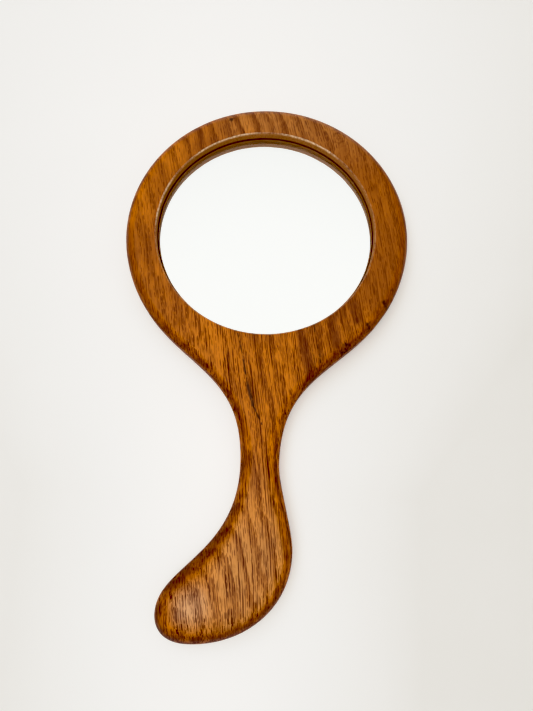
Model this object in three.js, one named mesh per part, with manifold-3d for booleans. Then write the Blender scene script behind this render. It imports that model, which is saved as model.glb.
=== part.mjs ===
// A hand mirror cut from one oak board, with a round glass set into its head.
// Millimetres, +Z up. The mirror lies on its flat back: z = 0 is the back face, the glass
// faces +Z, the handle points to -Y, and x = y = 0 is the centre of the round head.

import * as THREE from 'three';
import { mergeVertices } from 'three/addons/utils/BufferGeometryUtils.js';
import Module from 'manifold-3d';

const wasm = await Module();
wasm.setup();

// ---- Driving dimensions -------------------------------------------------------------------

const BOARD_THICKNESS = 19;      // a planed 3/4 inch board
const HEAD_RADIUS = 83.5;
const EDGE_ROUND = 6;            // router round-over on the front and the back edge

const GLASS_RADIUS = 63.5;       // a stock 5 inch round mirror
const GLASS_THICKNESS = 3;
const GLASS_SEAM = 0.4;          // ground chamfer on the glass edge
const SILVER_THICKNESS = 0.1;    // reflective coat on the back of the glass
const PAINT_THICKNESS = 0.2;     // protective paint over the silver
const COAT_MARGIN = 0.4;         // both coats stop at the ground chamfer

const RECESS_DEPTH = 9.5;        // 3/8 inch
const RECESS_CLEARANCE = 0.5;    // between the glass edge and the wall
const RECESS_RIM_ROUND = 1.1;    // eased front rim of the recess
const RECESS_CENTRE_X = -1;      // the recess sits a little off the middle of the head
const RECESS_CENTRE_Y = 0.5;

const MASTIC_RADIUS = 9;         // a pressed dab of mirror mastic
const MASTIC_THICKNESS = 0.7;
const MASTIC_BULGE = 0.5;        // how far its edge swells out half way up
const MASTIC_RING_RADIUS = 38;
const MASTIC_RING_COUNT = 4;

// ---- Heights worked out from them -----------------------------------------------------------

const FLOOR_Z = BOARD_THICKNESS - RECESS_DEPTH;
const PAINT_Z = FLOOR_Z + MASTIC_THICKNESS;
const SILVER_Z = PAINT_Z + PAINT_THICKNESS;
const GLASS_Z = SILVER_Z + SILVER_THICKNESS;

// ---- Outline of the board -------------------------------------------------------------------

// The head is an arc. It ends on both flanks at the same angle from straight down, and smooth
// curves carry the outline on through the neck, the heel, the base and the toe of the handle.
const FLANK_ANGLE = THREE.MathUtils.degToRad(75);
const NECK = { halfWidth: 10.5, y: -135 };
const TOE = { x: -51, y: -210 };
const BASE = { x: -33, y: -224 };
const HEEL = { x: 18.5, y: -178.5 };

// How far each curve runs along its end tangents before it turns.
const PULL = {
  flank: 63, neckUp: 61.5,
  neckToToe: 46.5, toeUp: 22.5,
  toeDown: 4, baseLeft: 16,
  baseRight: 25, heelDown: 30,
  heelUp: 10, neckToHeel: 10,
};

function boardOutline() {
  const flankX = HEAD_RADIUS * Math.sin(FLANK_ANGLE);
  const flankY = -HEAD_RADIUS * Math.cos(FLANK_ANGLE);
  const pullX = PULL.flank * Math.cos(FLANK_ANGLE);
  const pullY = PULL.flank * Math.sin(FLANK_ANGLE);
  const arcStart = FLANK_ANGLE - Math.PI / 2;
  const arcEnd = 1.5 * Math.PI - FLANK_ANGLE;

  const shape = new THREE.Shape();
  shape.moveTo(flankX, flankY);
  shape.absarc(0, 0, HEAD_RADIUS, arcStart, arcEnd, false);
  // left flank down to the neck
  shape.bezierCurveTo(
    -flankX + pullX, flankY - pullY,
    -NECK.halfWidth, NECK.y + PULL.neckUp,
    -NECK.halfWidth, NECK.y,
  );
  // neck out to the toe
  shape.bezierCurveTo(
    -NECK.halfWidth, NECK.y - PULL.neckToToe,
    TOE.x, TOE.y + PULL.toeUp,
    TOE.x, TOE.y,
  );
  // round the toe to the base
  shape.bezierCurveTo(
    TOE.x, TOE.y - PULL.toeDown,
    BASE.x - PULL.baseLeft, BASE.y,
    BASE.x, BASE.y,
  );
  // base up to the heel
  shape.bezierCurveTo(
    BASE.x + PULL.baseRight, BASE.y,
    HEEL.x, HEEL.y - PULL.heelDown,
    HEEL.x, HEEL.y,
  );
  // heel up to the neck
  shape.bezierCurveTo(
    HEEL.x, HEEL.y + PULL.heelUp,
    NECK.halfWidth, NECK.y - PULL.neckToHeel,
    NECK.halfWidth, NECK.y,
  );
  // neck up the right flank
  shape.bezierCurveTo(
    NECK.halfWidth, NECK.y + PULL.neckUp,
    flankX - pullX, flankY - pullY,
    flankX, flankY,
  );
  return shape;
}

// ---- Solids ---------------------------------------------------------------------------------

const ROUND_SEGMENTS = 96;

function toSolid(geometry) {
  const bare = geometry.clone();
  bare.deleteAttribute('normal');
  bare.deleteAttribute('uv');
  const merged = mergeVertices(bare, 1e-4);
  return new wasm.Manifold(new wasm.Mesh({
    numProp: 3,
    vertProperties: new Float32Array(merged.attributes.position.array),
    triVerts: new Uint32Array(merged.index.array),
  }));
}

function toGeometry(solid) {
  const mesh = solid.getMesh();
  const geometry = new THREE.BufferGeometry();
  geometry.setAttribute('position', new THREE.BufferAttribute(mesh.vertProperties, 3));
  geometry.setIndex(new THREE.BufferAttribute(mesh.triVerts, 1));
  geometry.computeVertexNormals();
  return geometry;
}

// Turns a profile of [radius, height] pairs about +Z.
function turned(profile) {
  const points = profile.map(([radius, height]) => new THREE.Vector2(radius, height));
  return new THREE.LatheGeometry(points, ROUND_SEGMENTS).rotateX(Math.PI / 2);
}

// The space the router bit clears: a flat floor, a straight wall and an eased rim.
function recessCutter() {
  const wallRadius = GLASS_RADIUS + RECESS_CLEARANCE;
  const rimSteps = 5;
  const overshoot = 2;
  const above = BOARD_THICKNESS + overshoot;
  const profile = [[0, FLOOR_Z], [wallRadius, FLOOR_Z]];
  for (let step = 0; step <= rimSteps; step++) {
    const angle = (step / rimSteps) * (Math.PI / 2);
    profile.push([
      wallRadius + RECESS_RIM_ROUND * (1 - Math.cos(angle)),
      BOARD_THICKNESS - RECESS_RIM_ROUND * (1 - Math.sin(angle)),
    ]);
  }
  profile.push([wallRadius + RECESS_RIM_ROUND, above], [0, above]);
  return turned(profile).translate(RECESS_CENTRE_X, RECESS_CENTRE_Y, 0);
}

function oakBodyGeometry() {
  const board = new THREE.ExtrudeGeometry(boardOutline(), {
    depth: BOARD_THICKNESS - 2 * EDGE_ROUND,
    curveSegments: 26,
    bevelThickness: EDGE_ROUND,
    bevelSize: EDGE_ROUND,
    bevelOffset: -EDGE_ROUND,
    bevelSegments: 5,
  }).translate(0, 0, EDGE_ROUND);
  return toGeometry(toSolid(board).subtract(toSolid(recessCutter())));
}

function glassGeometry() {
  return turned([
    [0, 0],
    [GLASS_RADIUS - GLASS_SEAM, 0],
    [GLASS_RADIUS, GLASS_SEAM],
    [GLASS_RADIUS, GLASS_THICKNESS - GLASS_SEAM],
    [GLASS_RADIUS - GLASS_SEAM, GLASS_THICKNESS],
    [0, GLASS_THICKNESS],
  ]);
}

function coatGeometry(thickness) {
  const radius = GLASS_RADIUS - COAT_MARGIN;
  return turned([[0, 0], [radius, 0], [radius, thickness], [0, thickness]]);
}

function masticGeometry() {
  const dabSegments = 32;
  const profile = [
    [0, 0],
    [MASTIC_RADIUS, 0],
    [MASTIC_RADIUS + MASTIC_BULGE, MASTIC_THICKNESS / 2],
    [MASTIC_RADIUS, MASTIC_THICKNESS],
    [0, MASTIC_THICKNESS],
  ].map(([radius, height]) => new THREE.Vector2(radius, height));
  return new THREE.LatheGeometry(profile, dabSegments).rotateX(Math.PI / 2);
}

// ---- Materials ------------------------------------------------------------------------------

const MATERIALS = {
  oak: { color: 0x9a5a1e, roughness: 0.42, metalness: 0 },
  glass: { color: 0xe9f2ee, roughness: 0.03, metalness: 0, transparent: true, opacity: 0.35 },
  silver: { color: 0xf2f4f4, roughness: 0.02, metalness: 1 },
  paint: { color: 0x5b5f63, roughness: 0.7, metalness: 0 },
  mastic: { color: 0xcbb48a, roughness: 0.8, metalness: 0 },
};

// ---- Assembly -------------------------------------------------------------------------------

const mirror = new THREE.Group();

function add(name, geometry, finish, parent = mirror) {
  const mesh = new THREE.Mesh(geometry, new THREE.MeshStandardMaterial(MATERIALS[finish]));
  mesh.name = name;
  parent.add(mesh);
  return mesh;
}

add('oak_body', oakBodyGeometry(), 'oak');

// Everything in the recess is centred on the recess, not on the head.
const inset = new THREE.Group();
inset.position.set(RECESS_CENTRE_X, RECESS_CENTRE_Y, 0);
mirror.add(inset);

add('mirror_glass', glassGeometry(), 'glass', inset).position.z = GLASS_Z;
add('silver_film', coatGeometry(SILVER_THICKNESS), 'silver', inset).position.z = SILVER_Z;
add('backing_paint', coatGeometry(PAINT_THICKNESS), 'paint', inset).position.z = PAINT_Z;

add('mastic_dab_centre', masticGeometry(), 'mastic', inset).position.z = FLOOR_Z;
for (let index = 0; index < MASTIC_RING_COUNT; index++) {
  const angle = (index + 0.5) * (2 * Math.PI / MASTIC_RING_COUNT);
  const dab = add(`mastic_dab_${index + 1}`, masticGeometry(), 'mastic', inset);
  dab.position.set(MASTIC_RING_RADIUS * Math.cos(angle), MASTIC_RING_RADIUS * Math.sin(angle), FLOOR_Z);
}

export default mirror;
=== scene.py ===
"""Looks of the oak hand mirror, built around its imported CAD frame.

Every shape is in the frame's own axes: metres, +Z out of the glass, -Y down the handle.
Sizes below are written in millimetres and multiplied by MM.
"""

import math

import bmesh
import bpy
import numpy as np
from mathutils import Matrix, Vector, noise
from mathutils.geometry import delaunay_2d_cdt


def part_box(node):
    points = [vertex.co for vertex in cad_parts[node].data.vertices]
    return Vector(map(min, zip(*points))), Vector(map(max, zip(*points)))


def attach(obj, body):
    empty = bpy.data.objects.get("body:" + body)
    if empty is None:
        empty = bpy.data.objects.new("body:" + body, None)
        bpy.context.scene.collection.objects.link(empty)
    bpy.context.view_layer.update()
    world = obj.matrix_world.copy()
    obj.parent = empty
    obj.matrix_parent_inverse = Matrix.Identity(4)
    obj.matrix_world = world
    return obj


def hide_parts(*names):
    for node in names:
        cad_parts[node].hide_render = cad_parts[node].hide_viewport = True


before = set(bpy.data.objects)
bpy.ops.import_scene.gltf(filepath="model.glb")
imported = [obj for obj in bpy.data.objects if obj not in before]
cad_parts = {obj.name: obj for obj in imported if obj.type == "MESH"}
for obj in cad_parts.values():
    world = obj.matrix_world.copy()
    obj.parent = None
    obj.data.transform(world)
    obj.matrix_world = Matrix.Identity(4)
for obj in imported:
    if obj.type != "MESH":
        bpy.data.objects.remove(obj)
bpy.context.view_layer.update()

MM = 0.001

# ---- Driving sizes, in mm ---------------------------------------------------------------------

# The round-over of the board's edges: how far in from the outline and how deep it reaches.
HEAD_EDGE = (6.0, 6.0)
NECK_EDGE = (8.5, 7.5)
HEEL_EDGE = (9.0, 8.0)
TOE_EDGE = (19.0, 9.3)
NECK_BLEND = (-95.0, -130.0)     # y where the head's edge turns into the neck's
HEEL_BLEND = (-145.0, -175.0)    # y where the neck's edge turns into the heel's
TOE_BLEND = (0.0, -40.0)         # x where the heel's edge turns into the toe's

RIM_ROUND = 1.1                  # eased front rim of the recess
RIM_WEAR = 0.25                  # how uneven that easing is
OUTLINE_POINTS = 680
CURVE_STEPS = 12                 # between two points of the CAD outline
FACE_SPACING = 1.7
BACK_SPACING = 3.0
BORDER_GAP = 0.6                 # share of that spacing kept clear along a border
EDGE_ANGLES = (0, 8, 16, 24, 32)             # degrees round the edge where rings of points lie
FACE_ANGLES = (40, 48, 56, 64, 72, 81, 90)   # and where rows of a face's points lie
RIM_POINTS = 360
RIM_ANGLES = (90, 75, 60, 45, 30, 15, 0)     # degrees round the recess's eased rim
RIM_WEAR_WAVES = [(9, 3.1, 1.0), (23, 7.7, 0.6)]    # how quick that wear is, its seed and its share
WALL_RINGS = 4
CORNER_MARGIN = 0.5              # from the lowest of them to the recess's floor
FLOOR_MARGIN = 1.0               # from the wall to the ring that the floor starts at
HAND_SANDING = 0.05              # height of the faint waves left by sanding
SANDING_LENGTH = 24              # and their length
COAT_GAP = 0.01
GLASS_SEAM = 0.3                 # eased edges of the cut glass
TOLERANCE = 0.02                 # mm within which two places count as one
SHARP_ANGLE = 40                 # degrees between two faces past which their edge is shaded sharp
FLAT_LEAN = 0.999                # upward lean past which a face of a round piece is shaded flat


# ---- Small helpers ----------------------------------------------------------------------------

def smooth_step(low, high, value):
    share = np.clip((np.asarray(value, float) - low) / (high - low), 0.0, 1.0)
    return share * share * (3.0 - 2.0 * share)


def node_box(name):
    """A CAD node's lowest and highest corner, in mm."""
    low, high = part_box(name)
    return np.array(low) / MM, np.array(high) / MM


def add_piece(name, vertices, faces, materials, replaced):
    """Makes a mesh from mm vertices, rides it on the one body and lets it stand for its CAD nodes."""
    mesh = bpy.data.meshes.new(name)
    mesh.from_pydata([tuple(v * MM for v in vertex) for vertex in vertices], [], faces)
    mesh.validate()
    tidy = bmesh.new()
    tidy.from_mesh(mesh)
    bmesh.ops.recalc_face_normals(tidy, faces=tidy.faces)
    tidy.to_mesh(mesh)
    tidy.free()
    mesh.shade_smooth()
    mesh.set_sharp_from_angle(angle=math.radians(SHARP_ANGLE))
    for material in materials:
        mesh.materials.append(material)
    piece = bpy.data.objects.new(name, mesh)
    bpy.context.scene.collection.objects.link(piece)
    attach(piece, "root")
    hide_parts(*replaced)
    return piece


def bridge(faces, lower, upper):
    """Closes the strip between two loops of vertex numbers of the same length."""
    count = len(lower)
    for i in range(count):
        j = (i + 1) % count
        faces.append((lower[i], lower[j], upper[j], upper[i]))


# ---- The board's outline, read from the CAD board -----------------------------------------------

def cad_outline(node):
    """The loop of CAD vertices along the top of the board's straight side wall, in order, in mm."""
    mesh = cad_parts[node].data
    places = [tuple(round(c / MM, 3) for c in v.co) for v in mesh.vertices]
    widest = max(p[0] for p in places)
    level = max(p[2] for p in places if p[0] == widest)
    following = {}
    for edge in mesh.edges:
        a, b = (places[i] for i in edge.vertices)
        if a != b and a[2] == level and b[2] == level:
            following.setdefault(a, set()).add(b)
            following.setdefault(b, set()).add(a)
    start = min(following)
    loop = [start]
    previous, here = None, start
    while True:
        ahead = [p for p in sorted(following[here]) if p != previous]
        previous, here = here, ahead[0]
        if here == start:
            break
        loop.append(here)
    points = np.array(loop)[:, :2]
    x, y = points[:, 0], points[:, 1]
    signed_area = np.sum(x * np.roll(y, -1) - np.roll(x, -1) * y)
    return points if signed_area > 0 else points[::-1]


def even_loop(points, count):
    """A smooth closed curve through the points, as evenly spaced points and their outward normals."""
    after, later, before = np.roll(points, -1, 0), np.roll(points, -2, 0), np.roll(points, 1, 0)
    fine = []
    for t in np.linspace(0, 1, CURVE_STEPS, endpoint=False):
        fine.append(0.5 * (2 * points + (after - before) * t
                           + (2 * before - 5 * points + 4 * after - later) * t ** 2
                           + (3 * points - before - 3 * after + later) * t ** 3))
    curve = np.stack(fine, axis=1).reshape(-1, 2)
    closed = np.vstack([curve, curve[:1]])
    length = np.concatenate([[0], np.cumsum(np.linalg.norm(np.diff(closed, axis=0), axis=1))])
    at = np.linspace(0, length[-1], count, endpoint=False)
    even = np.stack([np.interp(at, length, closed[:, k]) for k in (0, 1)], axis=1)
    along = np.roll(even, -2, 0) - np.roll(even, 2, 0)
    along /= np.linalg.norm(along, axis=1)[:, None]
    return even, np.stack([along[:, 1], -along[:, 0]], axis=1)


def edge_size(points):
    """Width and depth of the edge's round-over near each point."""
    x, y = points[:, 0], points[:, 1]
    to_neck = smooth_step(*NECK_BLEND, y)
    to_heel = smooth_step(*HEEL_BLEND, y)
    to_toe = to_heel * smooth_step(*TOE_BLEND, x)
    sizes = []
    for head, neck, heel, toe in zip(HEAD_EDGE, NECK_EDGE, HEEL_EDGE, TOE_EDGE):
        sizes.append(head + (neck - head) * to_neck + (heel - neck) * to_heel + (toe - heel) * to_toe)
    return sizes


def distance_inside(points, loop):
    """How far each point is from the nearest stretch of the loop."""
    start, end = loop, np.roll(loop, -1, 0)
    run = end - start
    length_squared = (run ** 2).sum(1)
    nearest = np.full(len(points), np.inf)
    for chunk in np.array_split(np.arange(len(points)), max(1, len(points) // 500)):
        offset = points[chunk, None, :] - start[None]
        share = np.clip((offset * run).sum(2) / length_squared, 0, 1)
        gap = np.linalg.norm(offset - share[..., None] * run, axis=2)
        nearest[chunk] = gap.min(1)
    return nearest


def inside_loop(points, loop):
    """Even-odd test of each point against the loop."""
    x, y = points[:, 0, None], points[:, 1, None]
    x1, y1 = loop[:, 0], loop[:, 1]
    x2, y2 = np.roll(x1, -1), np.roll(y1, -1)
    crosses = (y1 > y) != (y2 > y)
    with np.errstate(divide="ignore", invalid="ignore"):
        hit = x < (x2 - x1) * (y - y1) / (y2 - y1) + x1
    return (crosses & hit).sum(1) % 2 == 1


def hex_points(loop, spacing):
    """A triangular grid of points over the loop's box."""
    low, high = loop.min(0), loop.max(0)
    rows = np.arange(low[1], high[1], spacing * math.sqrt(3) / 2)
    points = []
    for number, y in enumerate(rows):
        for x in np.arange(low[0] + (number % 2) * spacing / 2, high[0], spacing):
            points.append((x, y))
    return np.array(points)


# ---- The oak board ----------------------------------------------------------------------------

def face_drop(points, loop):
    """How far the rounded face lies below the flat one at each point."""
    width, depth = edge_size(points)
    share = np.clip(1 - distance_inside(points, loop) / width, 0, 1)
    return depth * (1 - np.sqrt(1 - share ** 2))


def sanding_wave(points, seed):
    places = [Vector((x / SANDING_LENGTH, y / SANDING_LENGTH, seed)) for x, y in points]
    return np.array([HAND_SANDING * noise.noise(place) for place in places])


def edge_rows(loop, normals, angles):
    """Rows of points running round the board where its round-over has each steepness."""
    width, _ = edge_size(loop)
    rows = []
    for angle in angles:
        inset = width * (1 - math.cos(angle))
        row = loop - normals * inset[:, None]
        rows.append(row[distance_inside(row, loop) > inset - TOLERANCE])
    return np.vstack(rows)


def face_mesh(border, hole, loop, rows, spacing):
    """Fills a face between its border and an optional hole: flat points and triangles."""
    grid = hex_points(border, spacing)
    grid = grid[inside_loop(grid, border)]
    width, _ = edge_size(grid)
    grid = grid[distance_inside(grid, loop) > width + spacing * BORDER_GAP]
    grid = np.vstack([rows, grid])
    if hole is not None:
        centre = hole.mean(0)
        radius = np.linalg.norm(hole - centre, axis=1).mean()
        grid = grid[np.linalg.norm(grid - centre, axis=1) > radius + spacing * BORDER_GAP]
    loops = [border] if hole is None else [border, hole]
    points = np.vstack(loops + [grid])
    edges = []
    start = 0
    for ring in loops:
        count = len(ring)
        edges += [(start + i, start + (i + 1) % count) for i in range(count)]
        start += count
    _, _, faces, origin, _, _ = delaunay_2d_cdt([Vector(p) for p in points], edges, [], 1, 1e-5)
    back = [o[0] for o in origin]
    triangles = [tuple(back[i] for i in face) for face in faces]
    if hole is not None:
        middles = np.array([points[list(t)].mean(0) for t in triangles])
        triangles = [t for t, in_hole in zip(triangles, inside_loop(middles, hole)) if not in_hole]
    return points, triangles


def recess_rings(centre, wall_radius, thickness, floor_z):
    """Rings of the recess from the face inwards: an unevenly eased rim, a straight wall and a flat floor.

    Each ring is its flat points and their heights.
    """
    around = np.linspace(0, 2 * math.pi, RIM_POINTS, endpoint=False)
    spokes = np.stack([np.cos(around), np.sin(around)], axis=1)
    wear = np.zeros(RIM_POINTS)
    for waves, seed, share in RIM_WEAR_WAVES:
        wear += share * np.array([noise.noise(Vector((waves * c, waves * s, seed))) for c, s in spokes])
    ease = RIM_ROUND + RIM_WEAR * wear
    rings = []
    for angle in np.radians(RIM_ANGLES):
        radius = wall_radius + ease * (1 - math.cos(angle))
        rings.append((centre + spokes * radius[:, None], thickness - ease * (1 - math.sin(angle))))
    wall = centre + spokes * wall_radius
    for height in np.linspace(thickness - RIM_ROUND - RIM_WEAR * 2, floor_z + CORNER_MARGIN, WALL_RINGS):
        rings.append((wall, np.full(RIM_POINTS, height)))
    level = np.full(RIM_POINTS, floor_z)
    rings.append((wall, level))
    rings.append((centre + spokes * (wall_radius - FLOOR_MARGIN), level))
    return rings


def build_board(material):
    low, high = node_box("oak_body")
    thickness = high[2] - low[2]
    glass_low, glass_high = node_box("mirror_glass")
    dab_low, _ = node_box("mastic_dab_centre")
    centre = (glass_low[:2] + glass_high[:2]) / 2
    floor_z = dab_low[2]
    wall_radius = recess_radius("oak_body", centre, floor_z)

    loop, normals = even_loop(cad_outline("oak_body"), OUTLINE_POINTS)
    width, depth = edge_size(loop)
    vertices, faces = [], []

    def add_ring(flat, z):
        first = len(vertices)
        vertices.extend(zip(flat[:, 0], flat[:, 1], z))
        return list(range(first, first + len(flat)))

    # The rounded edge, from the wall up to where the faces take over.
    borders = {}
    walls = {}
    for side in ("front", "back"):
        previous = None
        for angle in np.radians(EDGE_ANGLES):
            inset = width * (1 - math.cos(angle))
            flat = loop - normals * inset[:, None]
            drop = depth * (1 - math.sin(angle))
            z = thickness - drop if side == "front" else drop
            ring = add_ring(flat, z)
            if previous is None:
                walls[side] = ring
            else:
                bridge(faces, previous, ring)
            previous = ring
        borders[side] = (flat, previous)
    bridge(faces, walls["back"], walls["front"])

    # The front face, and the recess down from its hole.
    rows = edge_rows(loop, normals, np.radians(FACE_ANGLES))
    rings = recess_rings(centre, wall_radius, thickness, floor_z)
    hole, hole_z = rings[0]
    border, border_ids = borders["front"]
    points, triangles = face_mesh(border, hole, loop, rows, FACE_SPACING)
    heights = thickness - face_drop(points, loop)
    fixed = len(border) + len(hole)
    heights[fixed:] += sanding_wave(points[fixed:], 0.0)
    hole_ids = add_ring(hole, hole_z)
    grid_ids = add_ring(points[fixed:], heights[fixed:])
    ids = border_ids + hole_ids + grid_ids
    faces.extend(tuple(ids[i] for i in t) for t in triangles)
    previous = hole_ids
    for flat, z in rings[1:]:
        ring = add_ring(flat, z)
        bridge(faces, previous, ring)
        previous = ring
    faces.append(tuple(previous))

    border, border_ids = borders["back"]
    points, triangles = face_mesh(border, None, loop, rows, BACK_SPACING)
    heights = face_drop(points, loop)
    grid_ids = add_ring(points[len(border):], heights[len(border):])
    ids = border_ids + grid_ids
    faces.extend(tuple(ids[i] for i in t) for t in triangles)
    return add_piece("oak_board", vertices, faces, [material], ["oak_body"])


def recess_radius(node, centre, floor_z):
    """The recess wall's radius: the furthest floor-level vertex from the recess's centre, in mm."""
    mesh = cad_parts[node].data
    places = np.array([v.co for v in mesh.vertices]) / MM
    floor = places[np.abs(places[:, 2] - floor_z) < TOLERANCE]
    return np.linalg.norm(floor[:, :2] - centre, axis=1).max()


# ---- Round pieces -------------------------------------------------------------------------------

DISC_SEGMENTS = 240
DAB_SEGMENTS = 48
DAB_SHRINK = 0.94                # of the CAD dab's radius
DAB_BULGE = 0.45                 # rounding of its edges, as a share of its thickness
DAB_WOBBLE = 0.12                # share of its radius
WOBBLE_WAVES = 1.6               # how quickly the radius changes round a dab
DAB_SEED_STEP = 3.7

def turned(name, centre, profile, segments, materials, replaced, wobble=0.0, seed=0.0):
    """Turns a closed profile of (radius, z) about +Z. It starts and ends on the axis."""
    vertices = [(centre[0], centre[1], profile[0][1])]
    faces = []
    rings = []
    for radius, z in profile[1:-1]:
        first = len(vertices)
        for i in range(segments):
            angle = 2 * math.pi * i / segments
            c, s = math.cos(angle), math.sin(angle)
            swell = noise.noise(Vector((WOBBLE_WAVES * c, WOBBLE_WAVES * s, seed)))
            reach = radius * (1 + wobble * swell)
            vertices.append((centre[0] + reach * c, centre[1] + reach * s, z))
        rings.append(list(range(first, first + segments)))
    vertices.append((centre[0], centre[1], profile[-1][1]))
    last = len(vertices) - 1
    for i in range(segments):
        j = (i + 1) % segments
        faces.append((0, rings[0][j], rings[0][i]))
        faces.append((last, rings[-1][i], rings[-1][j]))
    for lower, upper in zip(rings, rings[1:]):
        bridge(faces, lower, upper)
    piece = add_piece(name, vertices, faces, materials, replaced)
    for polygon in piece.data.polygons:
        polygon.use_smooth = abs(polygon.normal.z) < FLAT_LEAN
    return piece


def rounded_disc(low_z, high_z, radius, round_size, steps=4):
    """Profile of a disc whose two edges are rounded."""
    profile = [(0.0, low_z), (radius * 0.5, low_z)]
    for k in range(steps + 1):
        angle = math.pi / 2 * k / steps
        inset, rise = round_size * (1 - math.sin(angle)), round_size * (1 - math.cos(angle))
        profile.append((radius - inset, low_z + rise))
    for k in range(steps + 1):
        angle = math.pi / 2 * k / steps
        inset, drop = round_size * (1 - math.cos(angle)), round_size * (1 - math.sin(angle))
        profile.append((radius - inset, high_z - drop))
    return profile + [(radius * 0.5, high_z), (0.0, high_z)]


def build_glass(materials):
    low, high = node_box("mirror_glass")
    centre = (low[:2] + high[:2]) / 2
    radius = (high[0] - low[0]) / 2
    profile = rounded_disc(low[2], high[2], radius, GLASS_SEAM)
    piece = turned("mirror_pane", centre, profile, DISC_SEGMENTS, materials, ["mirror_glass"])
    for polygon in piece.data.polygons:
        reach = np.linalg.norm(np.array(polygon.center)[:2] / MM - centre)
        polygon.material_index = int(reach > radius - GLASS_SEAM)
    return piece


def build_coat(name, node, material):
    """A thin disc on the back of the glass. A hair of air keeps the two from sharing a surface."""
    low, high = node_box(node)
    high = high - (0, 0, COAT_GAP)
    centre = (low[:2] + high[:2]) / 2
    radius = (high[0] - low[0]) / 2
    profile = [(0.0, low[2]), (radius * 0.5, low[2]), (radius, low[2]),
               (radius, high[2]), (radius * 0.5, high[2]), (0.0, high[2])]
    return turned(name, centre, profile, DISC_SEGMENTS, [material], [node])


def build_dab(name, node, material, seed):
    """A pressed dab, uneven all round and so a little smaller than its CAD box."""
    low, high = node_box(node)
    centre = (low[:2] + high[:2]) / 2
    radius = (high[0] - low[0]) / 2 * DAB_SHRINK
    bulge = (high[2] - low[2]) * DAB_BULGE
    profile = rounded_disc(low[2], high[2], radius, bulge, steps=3)
    return turned(name, centre, profile, DAB_SEGMENTS, [material], [node], DAB_WOBBLE, seed)


# ---- Materials ----------------------------------------------------------------------------------

class Graph:
    """Builds the nodes of one material or world with short calls. A value may be another node's output."""

    def __init__(self, owner):
        owner.use_nodes = True
        self.owner = owner
        self.tree = owner.node_tree
        self.tree.nodes.clear()

    def node(self, kind, inputs, **settings):
        made = self.tree.nodes.new(kind)
        for key, value in settings.items():
            setattr(made, key, value)
        for key, value in inputs.items():
            if isinstance(value, bpy.types.NodeSocket):
                self.tree.links.new(value, made.inputs[key])
            else:
                made.inputs[key].default_value = value
        return made

    def math(self, operation, a, b=0.0):
        return self.node("ShaderNodeMath", {0: a, 1: b}, operation=operation).outputs[0]

    def chain(self, operation, first, *others):
        """The operation applied to all the values, from the left."""
        for other in others:
            first = self.math(operation, first, other)
        return first

    def add(self, *values):
        return self.chain("ADD", *values)

    def multiply(self, *values):
        return self.chain("MULTIPLY", *values)

    def highest(self, *values):
        return self.chain("MAXIMUM", *values)

    def vector(self, operation, a, b):
        return self.node("ShaderNodeVectorMath", {0: a, 1: b}, operation=operation).outputs[0]

    def length(self, vector):
        return self.node("ShaderNodeVectorMath", {0: vector}, operation="LENGTH").outputs["Value"]

    def scaled(self, vector, factor):
        inputs = {0: vector, "Scale": factor}
        return self.node("ShaderNodeVectorMath", inputs, operation="SCALE").outputs[0]

    def combine(self, x, y, z):
        return self.node("ShaderNodeCombineXYZ", {0: x, 1: y, 2: z}).outputs[0]

    def split(self, vector):
        return self.node("ShaderNodeSeparateXYZ", {0: vector}).outputs

    def off_axis(self, place, middle):
        """The flat run to the place from the upright line through middle, an x and a y in mm."""
        x, y, _ = self.split(place)
        return self.vector("SUBTRACT", self.combine(x, y, 0.0), (*middle, 0.0))

    def noise(self, vector, waves=None, scale=1.0, detail=2.0, roughness=0.5):
        """Noise of 0 to 1. The waves are its turns per mm along x, y and z."""
        if waves:
            vector = self.vector("MULTIPLY", vector, waves)
        inputs = {"Vector": vector, "Scale": scale, "Detail": detail, "Roughness": roughness}
        return self.node("ShaderNodeTexNoise", inputs).outputs["Fac"]

    def random(self, a, b, seed):
        """Three random values for each pair of whole numbers a and b."""
        where = self.combine(a, b, seed)
        made = self.node("ShaderNodeTexWhiteNoise", {"Vector": where}, noise_dimensions="3D")
        return self.split(made.outputs["Color"])

    def map_range(self, value, low, high, out_low, out_high, shape):
        inputs = {"Value": value, "From Min": low, "From Max": high, "To Min": out_low, "To Max": out_high}
        return self.node("ShaderNodeMapRange", inputs, interpolation_type=shape).outputs[0]

    def step(self, value, low, high, out_low=0.0, out_high=1.0):
        """A smooth step from out_low to out_high while value goes from low to high."""
        return self.map_range(value, low, high, out_low, out_high, "SMOOTHSTEP")

    def linear(self, value, low, high, out_low, out_high):
        return self.map_range(value, low, high, out_low, out_high, "LINEAR")

    def span(self, share, at_none, at_all):
        """A straight run from at_none to at_all while share goes from 0 to 1."""
        return self.linear(share, 0.0, 1.0, at_none, at_all)

    def mix(self, share, a, b):
        made = self.node("ShaderNodeMix", {}, data_type="RGBA")
        for socket, value in (("Factor_Float", share), ("A_Color", a), ("B_Color", b)):
            target = next(s for s in made.inputs if s.identifier == socket)
            if isinstance(value, bpy.types.NodeSocket):
                self.tree.links.new(value, target)
            else:
                target.default_value = value
        return next(s for s in made.outputs if s.identifier == "Result_Color")

    def place(self):
        """The shaded point in mm."""
        return self.scaled(self.node("ShaderNodeTexCoord", {}).outputs["Object"], 1 / MM)

    def finish(self, inputs):
        shader = self.node("ShaderNodeBsdfPrincipled", inputs)
        self.node("ShaderNodeOutputMaterial", {"Surface": shader.outputs[0]})
        return self.owner


def colour(red, green, blue):
    """An sRGB colour of 0 to 255 as a linear one."""
    shares = (red / 255, green / 255, blue / 255)
    return (*(c / 12.92 if c <= 0.04045 else ((c + 0.055) / 1.055) ** 2.4 for c in shares), 1.0)


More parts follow.
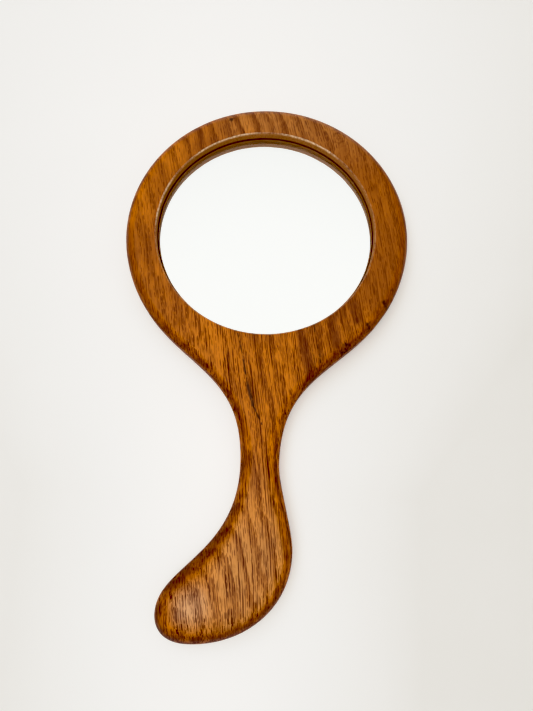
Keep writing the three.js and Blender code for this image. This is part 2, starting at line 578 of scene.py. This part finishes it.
# Colours of the stained oak. Some of them also paint shade, sheen and highlights.
HONEY = colour(205, 118, 27)
AMBER = colour(160, 89, 26)
UMBER = colour(101, 47, 21)
PORE = colour(76, 24, 21)
KNOT_AND_SHADE = colour(48, 27, 23)
WORN_AND_SHEEN = colour(226, 160, 92)
RUBBED_AND_HIGHLIGHT = colour(240, 204, 162)
WALL = colour(214, 148, 94)
CORNER_SHADE = colour(112, 76, 68)
SEALER = colour(222, 152, 84)

FIBRE_LEAN = 9.5                 # degrees the fibres lean from the handle's axis
BULB_LEAN = 5.0                  # and below BULB_START, where they straighten
BULB_START = -140.0              # y in mm
RING_LEAN = 17.0                 # degrees the growth rings' edges lean on the face
RING_SLOPE = 1.8                 # rise of a growth layer's outward direction for each mm to the left
RING_WIDTH = 4.7                 # mm of growth a year
PORE_LAYER = 1.0                 # mm of depth in which a pore lies
PORE_BLUR = 0.12                 # mm over which its side fades
ROW_SHIFT = 7.0                  # lengths by which neighbouring tubes may be out of step
LAYER_STRIDE = 31.7              # keeps tubes one above the other from drawing the same luck
RECESS_REACH = 66.0              # mm from the glass's centre within which the rim's stain has worn off, and the recess is painted lighter for the light it gets from the front
RECESS_FADE = 0.5

# Fields of noise, as turns per mm along x, y and z.
SLOW_WAVES = (0.02, 0.008, 0.03)
QUICK_WAVES = (0.10, 0.045, 0.10)
BLOTCHES = (0.05, 0.03, 0.05)
MOTTLING = (0.30, 0.16, 0.30)
CRACK_GAPS = (0.4, 0.22, 0.4)
KNOT_WOBBLE = (0.45, 0.3, 0.45)
RIM_RUB_AND_GLINT_WAVES = (0.7, 0.7, 0.7)
FIBRE_STRETCH = 0.05             # of the fibre noise along the fibres
FIBRE_SCALE = 1.5

# How far those fields push the grain to each side, in mm.
SLOW_SWING = 6.0
RING_SWING = 10.0
RING_WAVES = 2.4
RING_FRAY = 1.5
PORE_WAVES = 0.6
BAND_WAVES = 3.0
CRACK_FRAY = 1.2
SWIRL_WAVES = 2.0

# Where a look changes, as the x, y or z in mm where the change starts and ends.
THROAT = (-25.0, -75.0)          # y, from the head's look to the handle's
GRIP_WEAR_AND_SHEEN = (-118.0, -185.0)     # y over which the handle's finish grows worn and takes a painted sheen
TOP_WEAR_AND_SHEEN = (30.0, 80.0)          # y over which the head's finish grows worn and takes a painted sheen
TOE_WEAR_AND_SHEEN = (-38.0, -14.0)        # x over which that wear and painted sheen begin; the toe gets less of both
DARK_TOP = (45.0, 62.0)          # y over which the head's rings grow darker
LIGHT_TOP = (35.0, 65.0)         # y over which the head's edge grows less dark
END_GRAIN = (-40.0, -170.0)      # y over which end grain grows darker
CALM_SIDE = (5.0, -25.0)         # x over which the throat's grain turns plain
HONEY_TO_SHADED_SIDE = (-60.0, 60.0)       # x over which the board loses its honey tone: painted shade, darker towards +X as if lit from the left
HOOK_SHADE = (-130.0, -165.0)    # y over which the far side of the hook grows darker
FLANK_SHADE = (-60.0, -75.0)     # x over which the head's left side grows darker
MARKED_DEPTH = (6.0, 11.0)       # z over which the marks of the front face fade in
CORNER_SHADE_BAND = (1.4, 0.7)          # z above the glass over which the wall's painted contact shade fades in

# How the surface's upward lean sorts it: 1 is a flat face and 0 an upright wall.
ROUNDED = (0.975, 0.80)
OPEN_FACE = (0.8, 0.98)
RECESS_WALL = (0.6, 0.3)
RIM_TOP = (0.99, 0.9)
RIM_FOOT = (0.25, 0.5)
SHINE_LEAN = (0.3, 0.8)

# Strengths of the looks, as shares of their full colour.
BAND_SHARE = 0.65
EDGE_SHARE = (0.24, 0.92)        # along the grain and across it
EDGE_RINGS = (0.85, 0.45)        # below LIGHT_TOP and above it
WEAR_AND_SHEEN_SHARE = (0.54, 0.24)        # on unstained and on stained wood
TOE_SHARE = 0.36
STREAK_SHARE = (0.42, 0.28)      # on the head and on the handle
MOTTLE_SHARE = 0.3
RING_SHARE = (0.38, 0.5)         # on the head and on the handle
SWIRL_SHARE = 0.45
SHADE_SHARE = 0.34
WALL_SHARE = (0.9, 0.55)         # between fibres and on them
OPENING_SHARE = 0.85             # of cracks and knots

# Pores: pitch of their columns, length and half width in mm, and seed of their random draws.
LONG_PORES = [(2.3, 30.0, 0.34, 1.0), (1.5, 18.0, 0.27, 5.0)]
SHORT_PORES = [(0.9, 7.0, 0.20, 9.0), (1.2, 4.0, 0.24, 13.0)]
# Small dark knots: x, y on the front face and radius, in mm.
KNOTS = [(45.5, -71, 3.4), (58.5, -57, 3.2), (68, -43.5, 3.4), (73, -35.5, 2.4), (-24.5, 73, 2.0)]
# Drying cracks and long dark pores: x, y of both ends and half width, in mm.
CRACKS = [(27.3, -56, 31.7, -79, 0.35), (24, -59, 29.4, -83, 0.25), (-14.5, -64, -11, -79, 0.3),
          (-11, -79, -7.8, -93, 0.45), (-7.8, -93, -4.7, -104, 0.7), (-4.7, -104, 0.5, -114, 0.4)]
# Rubbed stretches of the recess's rim, painted as highlights: turn from the head's top towards +X, and half
# its spread, in degrees.
RIM_RUBS_AND_HIGHLIGHTS = [(-26, 20), (24, 17), (-75, 14)]
RIM_RUB_ELSEWHERE = 0.25
# Grain curling round a bud near the head's upper right: x, y and ring spacing, in mm.
SWIRL = (42.0, 63.0, 2.9)
# The toe's high spot, rubbed almost bare and given a painted highlight: x, y, z and reach, in mm.
TOE_RUB_AND_HIGHLIGHT = (-32.5, -205.0, 18.5, 15.0)
# Rings that took more stain: x, y of both ends and half width, in mm.
DARK_BANDS = [(20, -62, 27, -90, 2.8), (37, -52, 41, -69, 2.4), (48, -41, 52, -54, 2.4)]


def line_distance(g, x, y, mark):
    """Distance from the shaded point to a straight mark on the face, with x and y in mm."""
    x1, y1, x2, y2 = mark[:4]
    run_x, run_y = x2 - x1, y2 - y1
    length_squared = run_x ** 2 + run_y ** 2
    off_x, off_y = g.math("SUBTRACT", x, x1), g.math("SUBTRACT", y, y1)
    along = g.add(g.multiply(off_x, run_x), g.multiply(off_y, run_y))
    share = g.linear(along, 0.0, length_squared, 0.0, 1.0)
    gap_x = g.math("SUBTRACT", off_x, g.multiply(share, run_x))
    gap_y = g.math("SUBTRACT", off_y, g.multiply(share, run_y))
    return g.math("SQRT", g.add(g.multiply(gap_x, gap_x), g.multiply(gap_y, gap_y)))


def bent_grain(g, place):
    """The shaded point's place across the fibres, two fields of waves that bend them, and their noise."""
    x, y, z = g.split(place)
    slow = g.noise(place, SLOW_WAVES, detail=1.0)
    quick = g.noise(place, QUICK_WAVES, detail=2.0)
    upper = g.multiply(g.highest(y, BULB_START), math.tan(math.radians(FIBRE_LEAN)))
    lower = g.math("MINIMUM", g.math("SUBTRACT", y, BULB_START), 0.0)
    lower = g.multiply(lower, math.tan(math.radians(BULB_LEAN)))
    across = g.add(x, g.add(upper, lower))
    across = g.add(across, g.span(slow, -SLOW_SWING, SLOW_SWING))
    fibre_place = g.combine(across, g.multiply(y, FIBRE_STRETCH), z)
    fibre = g.noise(fibre_place, scale=FIBRE_SCALE, detail=3.0, roughness=0.7)
    return across, slow, quick, fibre


def growth_stain(g, place, slow, quick, fibre):
    """How much stain the growth rings took. Early wood took the most, and some years more than others."""
    x, y, z = g.split(place)
    layer_x = g.add(x, g.multiply(y, math.tan(math.radians(RING_LEAN))))
    layer_x = g.add(layer_x, g.span(slow, -RING_SWING, RING_SWING))
    steepness = math.hypot(1.0, RING_SLOPE)
    grown = g.math("SUBTRACT", g.multiply(z, RING_SLOPE / steepness), g.multiply(layer_x, 1 / steepness))
    grown = g.add(grown, g.span(quick, -RING_WAVES, RING_WAVES))
    grown = g.add(grown, g.span(fibre, -RING_FRAY, RING_FRAY))
    year = g.math("DIVIDE", grown, RING_WIDTH)
    growth = g.math("FRACT", year)
    early = g.multiply(g.step(growth, 0.0, 0.08), g.step(growth, 0.7, 0.15))
    draw = g.node("ShaderNodeTexWhiteNoise", {"W": g.math("FLOOR", year)}, noise_dimensions="1D")
    return g.multiply(early, g.span(draw.outputs["Value"], 0.45, 1.0))


def pore_tubes(g, place, skipped, pitch, length, half_width, seed):
    """Dark tubes along the fibres: one to a column, a layer of depth and a length, all in mm.

    They show as dashes on the board's faces and as dots on its end grain.
    """
    across, along, depth = place
    column_place = g.math("DIVIDE", across, pitch)
    column = g.math("FLOOR", column_place)
    _, _, shift = g.random(column, 0.0, seed + 2.0)
    depth_place = g.add(g.math("DIVIDE", depth, PORE_LAYER), shift)
    layer = g.math("FLOOR", depth_place)
    offset, start, _ = g.random(column, layer, seed)
    row_place = g.add(g.math("DIVIDE", along, length), g.multiply(start, ROW_SHIFT))
    tube = g.add(column, g.multiply(layer, LAYER_STRIDE))
    luck, thickness, _ = g.random(tube, g.math("FLOOR", row_place), seed + 1.0)
    middle = g.span(offset, 0.25, 0.75)
    gap = g.math("ABSOLUTE", g.math("SUBTRACT", g.math("FRACT", column_place), middle))
    run = g.math("FRACT", row_place)
    taper = g.multiply(g.step(run, 0.0, 0.3), g.step(run, 1.0, 0.7))
    off_middle = g.math("ABSOLUTE", g.math("SUBTRACT", g.math("FRACT", depth_place), 0.5))
    taper = g.multiply(taper, g.step(off_middle, 0.5, 0.4))
    reach = g.multiply(taper, g.span(thickness, 0.4 * half_width / pitch, half_width / pitch))
    blur = PORE_BLUR / pitch
    ink = g.step(g.math("SUBTRACT", gap, reach), blur, -blur)
    ink = g.multiply(ink, g.step(taper, 0.0, 0.2))
    return g.multiply(ink, g.step(g.math("SUBTRACT", luck, skipped), -0.05, 0.05))


def all_pores(g, place, across, quick, stain, in_handle):
    """Pores of every kind. There are more of them in stained early wood and on the handle."""
    _, y, z = g.split(place)
    wavy_place = (g.add(across, g.span(quick, -PORE_WAVES, PORE_WAVES)), y, z)
    skipped = g.math("SUBTRACT", g.span(stain, 0.70, 0.15), g.multiply(in_handle, 0.2))
    long_pores = g.highest(*(pore_tubes(g, wavy_place, skipped, *kind) for kind in LONG_PORES))
    short_pores = g.highest(*(pore_tubes(g, wavy_place, skipped, *kind) for kind in SHORT_PORES))
    long_pores = g.multiply(long_pores, g.span(in_handle, 0.5, 1.0))
    short_pores = g.multiply(short_pores, g.span(in_handle, 0.75, 0.85))
    return g.highest(long_pores, short_pores)


def front_marks(g, place, front, quick, fibre, wobble):
    """Dark bands, cracks and knots of this one board's front."""
    x, y, _ = g.split(place)
    band_x = g.add(x, g.span(quick, -BAND_WAVES, BAND_WAVES))
    band = 0.0
    for line in DARK_BANDS:
        gap = line_distance(g, band_x, y, line)
        band = g.highest(band, g.step(gap, line[4] * 1.5, line[4] * 0.4, 0.0, BAND_SHARE))
    band = g.multiply(band, front, g.linear(fibre, 0.3, 0.6, 0.4, 1.0))
    crack_x = g.add(x, g.span(fibre, -CRACK_FRAY, CRACK_FRAY))
    crack = 0.0
    for line in CRACKS:
        gap = line_distance(g, crack_x, y, line)
        crack = g.highest(crack, g.step(gap, line[4] * 1.7, line[4] * 0.5))
    broken = g.noise(place, CRACK_GAPS, detail=1.0)
    crack = g.multiply(crack, front, g.step(broken, 0.38, 0.5))
    knot = 0.0
    for *middle, radius in KNOTS:
        gap = g.length(g.off_axis(place, middle))
        gap = g.add(gap, g.span(wobble, -2 * radius, 2 * radius))
        knot = g.highest(knot, g.step(gap, radius, 0.0))
    return band, crack, g.multiply(knot, front)


def swirl_rings(g, place, wobble):
    """Rings of grain round the bud."""
    *middle, spacing = SWIRL
    gap = g.length(g.off_axis(place, middle))
    gap = g.add(gap, g.span(wobble, -SWIRL_WAVES, SWIRL_WAVES))
    turns = g.math("SINE", g.multiply(gap, 2 * math.pi / spacing))
    return g.multiply(g.step(turns, -0.2, 0.9), g.step(gap, 3.2 * spacing, 0.8 * spacing))


def rounded_edges(g, place, facing, blotch):
    """Where the surface turns away from the face, how near that is to the head's top, and its stain.

    It took most stain across the grain, and is made least dark round the top of the head.
    """
    _, y, _ = g.split(place)
    facing_x, facing_y, facing_z = facing
    sideways = g.math("SQRT", g.add(g.multiply(facing_x, facing_x), g.multiply(facing_y, facing_y)))
    crossing = g.math("DIVIDE", g.math("ABSOLUTE", facing_y), g.highest(sideways, 0.05))
    end_grain = g.multiply(g.step(crossing, 0.25, 0.8), g.linear(y, *END_GRAIN, 0.55, 1.0))
    upper_edge = g.step(y, *LIGHT_TOP)
    end_grain = g.multiply(end_grain, g.span(upper_edge, 1.0, 0.1))
    rounded = g.step(g.add(facing_z, g.span(blotch, -0.05, 0.05)), *ROUNDED)
    edge_stain = g.multiply(rounded, g.span(end_grain, *EDGE_SHARE))
    return rounded, upper_edge, g.multiply(edge_stain, g.span(upper_edge, 1.0, 0.5))


def recess_shares(g, place, facing_z, centre, glass_front):
    """Shares of the recess as a whole, its wall, its rim's pale line of wear with painted highlights, and
    the painted contact shade above the glass.
    """
    _, _, z = g.split(place)
    off_centre = g.off_axis(place, centre)
    in_recess = g.step(g.length(off_centre), RECESS_REACH + RECESS_FADE, RECESS_REACH)
    wall = g.multiply(in_recess, g.step(facing_z, *RECESS_WALL))
    rim = g.multiply(in_recess, g.multiply(g.step(facing_z, *RIM_TOP), g.step(facing_z, *RIM_FOOT)))
    rub_and_glint = g.linear(g.noise(place, RIM_RUB_AND_GLINT_WAVES, detail=3.0), 0.38, 0.60, 0.3, 1.0)
    turn = g.math("ARCTAN2", *g.split(off_centre)[:2])
    # a faint pale line of wear all round, and painted highlights on the rubbed stretches
    patches = RIM_RUB_ELSEWHERE
    for middle, half in RIM_RUBS_AND_HIGHLIGHTS:
        gap = g.math("ABSOLUTE", g.math("SUBTRACT", turn, math.radians(middle)))
        patches = g.highest(patches, g.step(gap, math.radians(half * 1.4), math.radians(half * 0.6)))
    rim = g.multiply(rim, g.multiply(patches, rub_and_glint))
    # painted contact shade in the corner where the wall meets the glass
    corner_shade = g.multiply(in_recess, g.step(z, glass_front + CORNER_SHADE_BAND[0], glass_front + CORNER_SHADE_BAND[1]))
    return in_recess, wall, rim, corner_shade


def wear_and_sheen_shares(g, place, facing_z, stain):
    """Shares of the finish that hands wore off, with its painted sheen, and of the toe's bare spot with its
    painted highlight.
    """
    x, y, _ = g.split(place)
    # the handle and the head's top, worn and given a painted sheen
    grip_and_top = g.add(g.step(y, *GRIP_WEAR_AND_SHEEN), g.step(y, *TOP_WEAR_AND_SHEEN, 0.0, 0.5))
    worn_and_sheen = g.multiply(grip_and_top, g.step(facing_z, *OPEN_FACE), g.step(x, *TOE_WEAR_AND_SHEEN, 0.2, 1.0),
                      g.span(stain, *WEAR_AND_SHEEN_SHARE))
    toe_gap = g.length(g.vector("SUBTRACT", place, TOE_RUB_AND_HIGHLIGHT[:3]))
    return worn_and_sheen, g.multiply(g.step(toe_gap, TOE_RUB_AND_HIGHLIGHT[3], 2.0), TOE_SHARE)


def far_side_shade(g, place, facing, rounded, in_recess):
    """Painted shade on the far side of the hook and of the head's left flank, together with the dark finish
    pooled there.
    """
    x, y, _ = g.split(place)
    hooked = g.highest(g.step(y, *HOOK_SHADE), g.step(x, *FLANK_SHADE, 0.0, 0.5))
    far_side = g.highest(g.step(facing[1], 0.1, 0.6), g.step(facing[0], -0.1, -0.6))
    return g.multiply(hooked, far_side, rounded, g.math("SUBTRACT", 1.0, in_recess), SHADE_SHARE)


def oak_material(recess_centre, glass_front):
    """Stained oak: the grain of the whole board, then the marks, stain and wear of its own places, and
    painted shade, sheen and highlights.
    """
    g = Graph(bpy.data.materials.new("stained_oak"))
    place = g.place()
    x, y, z = g.split(place)
    facing = g.split(g.node("ShaderNodeNewGeometry", {}).outputs["Normal"])
    facing_z = facing[2]
    in_handle = g.step(y, *THROAT)
    front = g.step(z, *MARKED_DEPTH)
    blotch = g.noise(place, BLOTCHES, detail=3.0)
    mottle = g.noise(place, MOTTLING, detail=4.0, roughness=0.6)
    wobble = g.noise(place, KNOT_WOBBLE, detail=3.0)

    across, slow, quick, fibre = bent_grain(g, place)
    stain = growth_stain(g, place, slow, quick, fibre)
    pore = all_pores(g, place, across, quick, stain, in_handle)
    band, crack, knot = front_marks(g, place, front, quick, fibre, wobble)
    rounded, upper_edge, edge_stain = rounded_edges(g, place, facing, blotch)
    in_recess, wall, rim, corner_shade = recess_shares(g, place, facing_z, recess_centre, glass_front)
    worn_and_sheen, toe_rub_and_highlight = wear_and_sheen_shares(g, place, facing_z, stain)
    shade = far_side_shade(g, place, facing, rounded, in_recess)
    edge_stain = g.multiply(edge_stain, g.math("SUBTRACT", 1.0, in_recess))
    edge_stain = g.multiply(edge_stain, g.step(mottle, 0.36, 0.60, 0.55, 1.0))

    # The drift towards amber at +X is painted shade, as if the light came from the left.
    honeyed = g.add(g.step(blotch, 0.3, 0.7), g.linear(x, *HONEY_TO_SHADED_SIDE, 0.35, -0.35))
    honeyed = g.add(honeyed, g.span(in_handle, -0.45, 0.2))
    calm = g.multiply(in_handle, g.step(x, *CALM_SIDE))
    busy = g.math("SUBTRACT", 1.0, g.multiply(calm, g.step(y, *reversed(GRIP_WEAR_AND_SHEEN), 0.0, 0.6)))
    rings = g.add(g.span(in_handle, *RING_SHARE), g.step(y, *DARK_TOP, 0.0, 0.35))
    rings = g.math("SUBTRACT", rings, g.step(y, *GRIP_WEAR_AND_SHEEN, 0.0, 0.08))
    rings = g.highest(g.multiply(rings, busy), g.multiply(rounded, g.span(upper_edge, *EDGE_RINGS)))
    streaks = g.step(fibre, 0.42, 0.72, 0.0, g.span(in_handle, *STREAK_SHARE))

    base = g.mix(honeyed, AMBER, HONEY)
    for share, tone in (
        # worn finish with a painted sheen on the handle and the head's top
        (worn_and_sheen, WORN_AND_SHEEN),
        # the toe's bare spot with a painted highlight
        (toe_rub_and_highlight, RUBBED_AND_HIGHLIGHT),
        (g.multiply(streaks, busy), UMBER),
        (g.multiply(g.step(mottle, 0.5, 0.72, 0.0, MOTTLE_SHARE), busy), UMBER),
        (g.multiply(stain, rings), UMBER),
        (g.multiply(swirl_rings(g, place, wobble), front, SWIRL_SHARE), UMBER),
        (band, PORE),
        (edge_stain, UMBER),
        # painted shade on the far sides, over their pooled dark finish
        (shade, KNOT_AND_SHADE),
        (pore, PORE),
        # the recess wall's bare wood, painted lighter for the light it gets from the front
        (g.multiply(wall, g.step(fibre, 0.35, 0.7, *WALL_SHARE)), WALL),
        # painted contact shade where the wall meets the glass
        (corner_shade, CORNER_SHADE),
        # the rim's pale line of wear, with painted highlights on its rubbed stretches
        (rim, RUBBED_AND_HIGHLIGHT),
        (g.multiply(g.highest(crack, knot), OPENING_SHARE), KNOT_AND_SHADE),
    ):
        base = g.mix(share, base, tone)

    height = g.add(g.multiply(pore, -0.6), g.multiply(fibre, 0.15))
    height = g.math("SUBTRACT", height, crack)
    bump = g.node("ShaderNodeBump", {"Strength": 0.35, "Distance": 0.1 * MM, "Height": height})
    return g.finish({
        "Base Color": base,
        "Roughness": g.add(g.span(rounded, 0.32, 0.45), g.multiply(pore, 0.2)),
        "Normal": bump.outputs[0],
        "Specular IOR Level": g.step(facing_z, *SHINE_LEAN, 0.05, 0.25),
    })


def glass_material():
    g = Graph(bpy.data.materials.new("float_glass"))
    smudge = g.noise(g.place(), (0.05, 0.05, 0.05), detail=3.0)
    return g.finish({
        "Base Color": (0.985, 1.0, 0.992, 1.0), "Roughness": g.step(smudge, 0.4, 0.9, 0.0, 0.02),
        "IOR": 1.52, "Transmission Weight": 1.0,
    })


def sealer_material():
    """Brown varnish on the cut edge of the pane, where the board's finish ran against it."""
    g = Graph(bpy.data.materials.new("edge_sealer"))
    streak = g.noise(g.place(), (0.8, 0.8, 2.0), detail=3.0)
    base = g.mix(streak, SEALER, WALL)
    return g.finish({"Base Color": base, "Roughness": g.span(streak, 0.4, 0.6)})


def silver_material():
    g = Graph(bpy.data.materials.new("silver"))
    haze = g.noise(g.place(), (0.04, 0.04, 0.04), detail=2.0)
    return g.finish({
        "Base Color": (0.975, 0.975, 0.965, 1.0), "Metallic": 1.0,
        "Roughness": g.span(haze, 0.0, 0.012),
    })


def paint_material():
    g = Graph(bpy.data.materials.new("backing_paint"))
    grain = g.noise(g.place(), (0.9, 0.9, 0.9), detail=4.0)
    base = g.mix(grain, colour(70, 74, 78), colour(98, 102, 106))
    bump = g.node("ShaderNodeBump", {"Strength": 0.3, "Distance": 0.05 * MM, "Height": grain})
    return g.finish({"Base Color": base, "Roughness": 0.7, "Normal": bump.outputs[0]})


def mastic_material():
    g = Graph(bpy.data.materials.new("mirror_mastic"))
    lumps = g.noise(g.place(), (0.4, 0.4, 0.4), detail=4.0)
    base = g.mix(lumps, colour(176, 146, 96), colour(214, 190, 146))
    bump = g.node("ShaderNodeBump", {"Strength": 0.6, "Distance": 0.2 * MM, "Height": lumps})
    return g.finish({"Base Color": base, "Roughness": 0.75, "Normal": bump.outputs[0]})


def paper_material():
    g = Graph(bpy.data.materials.new("pale_floor"))
    place = g.place()
    tooth = g.noise(place, (0.02, 0.02, 0.02), detail=6.0)
    base = g.mix(tooth, (0.88, 0.85, 0.80, 1.0), (0.92, 0.89, 0.84, 1.0))
    x, y, _ = g.split(place)
    width = g.linear(y, GLOW_NEAR[0], GLOW_FAR[0], GLOW_NEAR[1], GLOW_FAR[1])
    off_x = g.math("DIVIDE", g.math("SUBTRACT", x, FLOOR_GLOW[0]), width)
    off_y = g.math("DIVIDE", g.math("SUBTRACT", y, FLOOR_GLOW[1]), GLOW_LENGTH)
    away = g.math("SQRT", g.add(g.multiply(off_x, off_x), g.multiply(off_y, off_y)))
    # The emission is a painted pool of light, fading away from its middle.
    return g.finish({
        "Base Color": base, "Roughness": 0.9, "Specular IOR Level": 0.1,
        "Emission Color": (1.0, 0.98, 0.94, 1.0),
        "Emission Strength": g.span(away, GLOW_LEVEL, 0.0),
    })


# ---- Floor, light and camera ----------------------------------------------------------------------

FLOOR_HALF = 6000.0                         # mm
FLOOR_DROP = 0.2                            # mm below the board's back, so that no surface is shared
BLACK_POINT = 0.03
WHITE_POINT = 1.5
# Points of the phone's tone curve: share of the range, and its brightness.
TONE_CURVE = [(0.25, 0.36), (0.45, 0.63), (0.61, 0.80), (0.80, 0.905)]
DAYLIGHT = (1.0, 0.993, 0.968)
ROOM_LEVEL = 0.23
WALL_LIGHT = 0.14                           # how much brighter the room's walls are than its ceiling
WALL_TOP, WALL_FOOT = 0.55, 0.15            # height over which they fade in, as a share of the way up
# The paper glows as a painted pool of light, brightest along the handle and above the head: the middle of
# that glow, its half width at two places along y, its half length, all in mm, and its strength.
FLOOR_GLOW = (-20.0, -60.0)
GLOW_NEAR = (-150.0, 110.0)
GLOW_FAR = (170.0, 330.0)
GLOW_LENGTH = 900.0
GLOW_LEVEL = 0.38
# Patches of light as turn from the handle's side towards +X, tilt from straight up, radius and
# softness in degrees, and strength.
SKY_PATCHES = [
    (180, 14, 24, 20, 1.22),     # ceiling that the glass mirrors
    (180, 84, 28, 16, 1.0),      # pale wall beyond the head
    (0, 16, 14, 12, 0.45),       # ceiling over the handle
    (-46, 29, 9, 7, 2.9),        # window to the front left
    (75, 46, 5, 4, 2.7),         # window to the front right
    (0, 50, 24, 14, 0.25),       # what the photographer leaves open between them
]


# The camera fitted to the photo: mm, and degrees of turn, tilt and roll.
SENSOR_WIDTH = 36.0
FOCAL_LENGTH = 27.04
CAMERA_PLACE = (-0.44, -146.86, 304.79)
CAMERA_TURN = (-1.804, 13.911, 3.623)

# Lamps over the head and the handle: place and target in mm, size in mm and power in watts.
FILLS = {
    "ceiling_fill": ((-250, 110, 600), (-40, -20, 0), 350, 0.75),
    "handle_fill": ((-90, -210, 430), (-20, -120, 0), 250, 0.3),
}


def build_floor():
    mesh = bpy.data.meshes.new("floor")
    half = FLOOR_HALF * MM
    corners = [(-half, -half), (half, -half), (half, half), (-half, half)]
    mesh.from_pydata([(x, y, -FLOOR_DROP * MM) for x, y in corners], [], [(0, 1, 2, 3)])
    mesh.materials.append(paper_material())
    floor = bpy.data.objects.new("floor", mesh)
    bpy.context.scene.collection.objects.link(floor)


def build_sky():
    """A plain white room: one even level, lighter walls, and soft patches of window and ceiling."""
    world = bpy.data.worlds.new("studio")
    bpy.context.scene.world = world
    g = Graph(world)
    direction = g.node("ShaderNodeTexCoord", {}).outputs["Generated"]
    level = g.step(g.split(direction)[2], WALL_TOP, WALL_FOOT, ROOM_LEVEL, ROOM_LEVEL + WALL_LIGHT)
    for *degrees, strength in SKY_PATCHES:
        turn, tilt, radius, softness = (math.radians(v) for v in degrees)
        towards = (math.sin(tilt) * math.sin(turn), -math.sin(tilt) * math.cos(turn), math.cos(tilt))
        dot = g.node("ShaderNodeVectorMath", {0: direction, 1: towards}, operation="DOT_PRODUCT")
        outer, inner = math.cos(radius + softness), math.cos(max(radius - softness, 0.0))
        level = g.add(level, g.step(dot.outputs["Value"], outer, inner, 0.0, strength))
    background = g.node("ShaderNodeBackground", {"Color": g.scaled(DAYLIGHT, level)})
    g.node("ShaderNodeOutputWorld", {"Surface": background.outputs[0]})


def add_fill(name, place, target, size, power):
    """A square area light at place (mm) aimed at target (mm), too diffuse to be seen or mirrored."""
    light = bpy.data.lights.new(name, "AREA")
    light.shape = "SQUARE"
    light.size = size * MM
    light.energy = power
    lamp = bpy.data.objects.new(name, light)
    bpy.context.scene.collection.objects.link(lamp)
    lamp.location = Vector(place) * MM
    lamp.visible_camera = False
    lamp.visible_glossy = False
    lamp.visible_transmission = False
    aim = (Vector(target) - Vector(place)).normalized()
    lamp.rotation_euler = aim.to_track_quat("-Z", "Y").to_euler()


def build_camera():
    """A phone camera held over the handle and tilted up towards the head."""
    data = bpy.data.cameras.new("camera")
    data.sensor_width = SENSOR_WIDTH
    data.lens = FOCAL_LENGTH
    data.clip_start = 0.01
    camera = bpy.data.objects.new("camera", data)
    bpy.context.scene.collection.objects.link(camera)
    turn, tilt, roll = (math.radians(v) for v in CAMERA_TURN)
    camera.matrix_world = (Matrix.Translation(Vector(CAMERA_PLACE) * MM) @ Matrix.Rotation(turn, 4, "Z")
                           @ Matrix.Rotation(tilt, 4, "X") @ Matrix.Rotation(roll, 4, "Z"))
    bpy.context.scene.camera = camera


def develop_picture():
    """A phone's tone curve: blacks pressed down by a trace of haze, whites rolled off."""
    settings = bpy.context.scene.view_settings
    settings.view_transform = "Standard"
    settings.use_curve_mapping = True
    mapping = settings.curve_mapping
    mapping.black_level = (BLACK_POINT,) * 3
    mapping.white_level = (WHITE_POINT,) * 3
    curve = mapping.curves[3]
    for place, value in TONE_CURVE:
        curve.points.new(place, value)
    mapping.update()


# ---- Build ------------------------------------------------------------------------------------

glass_low, glass_high = node_box("mirror_glass")
build_board(oak_material((glass_low[:2] + glass_high[:2]) / 2, glass_high[2]))
build_glass([glass_material(), sealer_material()])
build_coat("silver_coat", "silver_film", silver_material())
build_coat("paint_coat", "backing_paint", paint_material())
mastic = mastic_material()
for number, node in enumerate(sorted(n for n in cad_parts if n.startswith("mastic_dab"))):
    build_dab(node.replace("mastic_dab", "pressed_dab"), node, mastic, seed=number * DAB_SEED_STEP)

build_floor()
build_sky()
for name, settings in FILLS.items():
    add_fill(name, *settings)
build_camera()
develop_picture()
